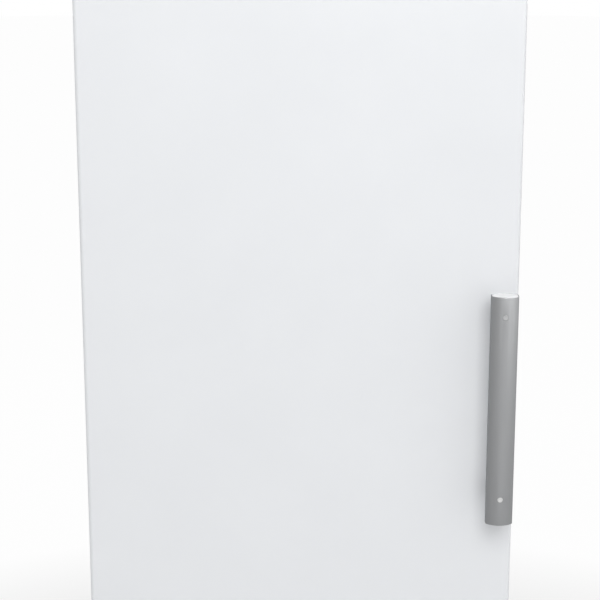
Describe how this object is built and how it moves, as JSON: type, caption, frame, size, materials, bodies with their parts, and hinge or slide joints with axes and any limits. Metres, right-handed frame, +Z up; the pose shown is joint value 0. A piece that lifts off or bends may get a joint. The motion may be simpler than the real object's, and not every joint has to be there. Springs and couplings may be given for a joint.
{
  "type": "upright freezer",
  "caption": "Tall single-door upright freezer with a vertical bar handle, sliding clear drawers on glass shelves and a wire condenser at the back.",
  "frame": {"origin": "on the floor under the middle of the whole object, from the handle's front to the condenser's back", "axes": "+Z up, front towards -Y, +X to the right when looking at the door"},
  "size_m": [0.595, 0.687, 1.75],
  "materials": {
    "white_paint": "satin powder coat",
    "cabinet_paint": "satin powder coat",
    "plated_steel": "zinc plated",
    "hinge_steel": "zinc plated",
    "screw_steel": "plated",
    "foam": "rigid insulation foam",
    "white_liner": "vacuum-formed",
    "white_plastic": "fine grain",
    "duct_plastic": "fine grain",
    "grey_gasket": "soft",
    "silver_handle": "silver satin",
    "grey_cap": "satin",
    "white_cap": "satin",
    "clear_plastic": "clear",
    "shelf_glass": "toughened",
    "bush_plastic": "natural",
    "coil_aluminium": "bare",
    "black_plastic": "fine grain",
    "lens_plastic": "clear",
    "board_green": "solder mask",
    "dark_plinth": "fine grain",
    "foot_plastic": "fine grain",
    "black_enamel": "semi-gloss",
    "black_rubber": "matt",
    "copper": "bare",
    "tray_plastic": "fine grain",
    "condenser_enamel": "enamel"
  },
  "bodies": {
    "cabinet": {"side_panel_left": "cabinet_paint", "side_panel_right": "cabinet_paint", "front_rails": "cabinet_paint", "back_panel": "plated_steel", "base_frame": "plated_steel", "top_lid": "white_plastic", "cabinet_foam": "foam", "cabinet_liner": "white_liner", "glass_shelves": "shelf_glass", "evaporator_cover": "duct_plastic", "evaporator_coil": "coil_aluminium", "fan_motor": "black_plastic", "drain_tube": "black_plastic", "control_fascia": "white_plastic", "indicator_lenses": "lens_plastic", "electronics_board": "board_green", "plinth": "dark_plinth", "lower_hinge": "hinge_steel", "upper_hinge": "hinge_steel", "hinge_screws": "screw_steel", "compressor_rail": "plated_steel", "compressor": "black_enamel", "compressor_grommets": "black_rubber", "compressor_bolts": "screw_steel", "relay_box": "black_plastic", "evaporation_tray": "tray_plastic", "condenser_tube": "condenser_enamel", "condenser_wires": "condenser_enamel", "condenser_brackets": "black_plastic", "filter_drier": "copper", "discharge_line": "condenser_enamel", "suction_line": "copper", "capillary_tube": "copper", "mains_inlet": "black_plastic"},
    "door": {"door_skin": "white_paint", "door_cap_top": "white_plastic", "door_cap_bottom": "white_plastic", "door_bushes": "bush_plastic", "door_foam": "foam", "door_liner": "white_liner", "door_gasket": "grey_gasket", "handle_bar": "silver_handle", "handle_posts": "silver_handle", "handle_screws": "screw_steel", "screw_cap_upper": "grey_cap", "screw_cap_lower": "white_cap"},
    "evaporator_fan": {"fan_rotor": "black_plastic"},
    "thermostat": {"thermostat_knob": "white_plastic"},
    "super_freeze": {"super_freeze_button": "white_plastic"},
    "left_foot": {"foot_left": "foot_plastic"},
    "right_foot": {"foot_right": "foot_plastic"},
    "left_roller": {"roller_left": "foot_plastic"},
    "right_roller": {"roller_right": "foot_plastic"},
    "drawer_body_1": {"drawer_1": "clear_plastic"},
    "drawer_body_2": {"drawer_2": "clear_plastic"},
    "drawer_body_3": {"drawer_3": "clear_plastic"},
    "drawer_body_4": {"drawer_4": "clear_plastic"},
    "drawer_body_5": {"drawer_5": "clear_plastic"},
    "drawer_body_6": {"drawer_6": "clear_plastic"},
    "drawer_body_7": {"drawer_7": "clear_plastic"}
  },
  "joints": [
    {"name": "door_hinge", "type": "hinge", "parent": "cabinet", "child": "door", "pos_m": [-0.2875, -0.2465, 0.88], "axis": [0, 0, -1], "range_deg": [0, 135]},
    {"name": "drawer_1_slide", "type": "slide", "parent": "cabinet", "child": "drawer_body_1", "axis": [0, -1, 0], "range_m": [0, 0.12]},
    {"name": "drawer_2_slide", "type": "slide", "parent": "cabinet", "child": "drawer_body_2", "axis": [0, -1, 0], "range_m": [0, 0.23]},
    {"name": "drawer_3_slide", "type": "slide", "parent": "cabinet", "child": "drawer_body_3", "axis": [0, -1, 0], "range_m": [0, 0.23]},
    {"name": "drawer_4_slide", "type": "slide", "parent": "cabinet", "child": "drawer_body_4", "axis": [0, -1, 0], "range_m": [0, 0.23]},
    {"name": "drawer_5_slide", "type": "slide", "parent": "cabinet", "child": "drawer_body_5", "axis": [0, -1, 0], "range_m": [0, 0.23]},
    {"name": "drawer_6_slide", "type": "slide", "parent": "cabinet", "child": "drawer_body_6", "axis": [0, -1, 0], "range_m": [0, 0.23]},
    {"name": "drawer_7_slide", "type": "slide", "parent": "cabinet", "child": "drawer_body_7", "axis": [0, -1, 0], "range_m": [0, 0.23]},
    {"name": "fan_spin", "type": "hinge", "parent": "cabinet", "child": "evaporator_fan", "pos_m": [0, 0.213, 0.629], "axis": [0, 1, 0], "continuous": true},
    {"name": "thermostat_turn", "type": "hinge", "parent": "cabinet", "child": "thermostat", "pos_m": [0.15, -0.2895, 1.722], "axis": [0, 1, 0], "range_deg": [0, 270]},
    {"name": "super_freeze_press", "type": "slide", "parent": "cabinet", "child": "super_freeze", "axis": [0, 1, 0], "range_m": [0, 0.002], "stiffness_N_per_m": 400},
    {"name": "left_foot_level", "type": "slide", "parent": "cabinet", "child": "left_foot", "axis": [0, 0, 1], "range_m": [-0.008, 0.012]},
    {"name": "right_foot_level", "type": "slide", "parent": "cabinet", "child": "right_foot", "axis": [0, 0, 1], "range_m": [-0.008, 0.012]},
    {"name": "left_roller_spin", "type": "hinge", "parent": "cabinet", "child": "left_roller", "pos_m": [-0.2575, 0.2845, 0.017], "axis": [1, 0, 0], "continuous": true},
    {"name": "right_roller_spin", "type": "hinge", "parent": "cabinet", "child": "right_roller", "pos_m": [0.2575, 0.2845, 0.017], "axis": [1, 0, 0], "continuous": true}
  ],
  "couplings": [
    {"joint": "drawer_1_slide", "follows": "door_hinge", "m_per_rad": 0.05092},
    {"joint": "drawer_2_slide", "follows": "door_hinge", "m_per_rad": 0.09761},
    {"joint": "drawer_3_slide", "follows": "door_hinge", "m_per_rad": 0.09761},
    {"joint": "drawer_4_slide", "follows": "door_hinge", "m_per_rad": 0.09761},
    {"joint": "drawer_5_slide", "follows": "door_hinge", "m_per_rad": 0.09761},
    {"joint": "drawer_6_slide", "follows": "door_hinge", "m_per_rad": 0.09761},
    {"joint": "drawer_7_slide", "follows": "door_hinge", "m_per_rad": 0.09761}
  ]
}
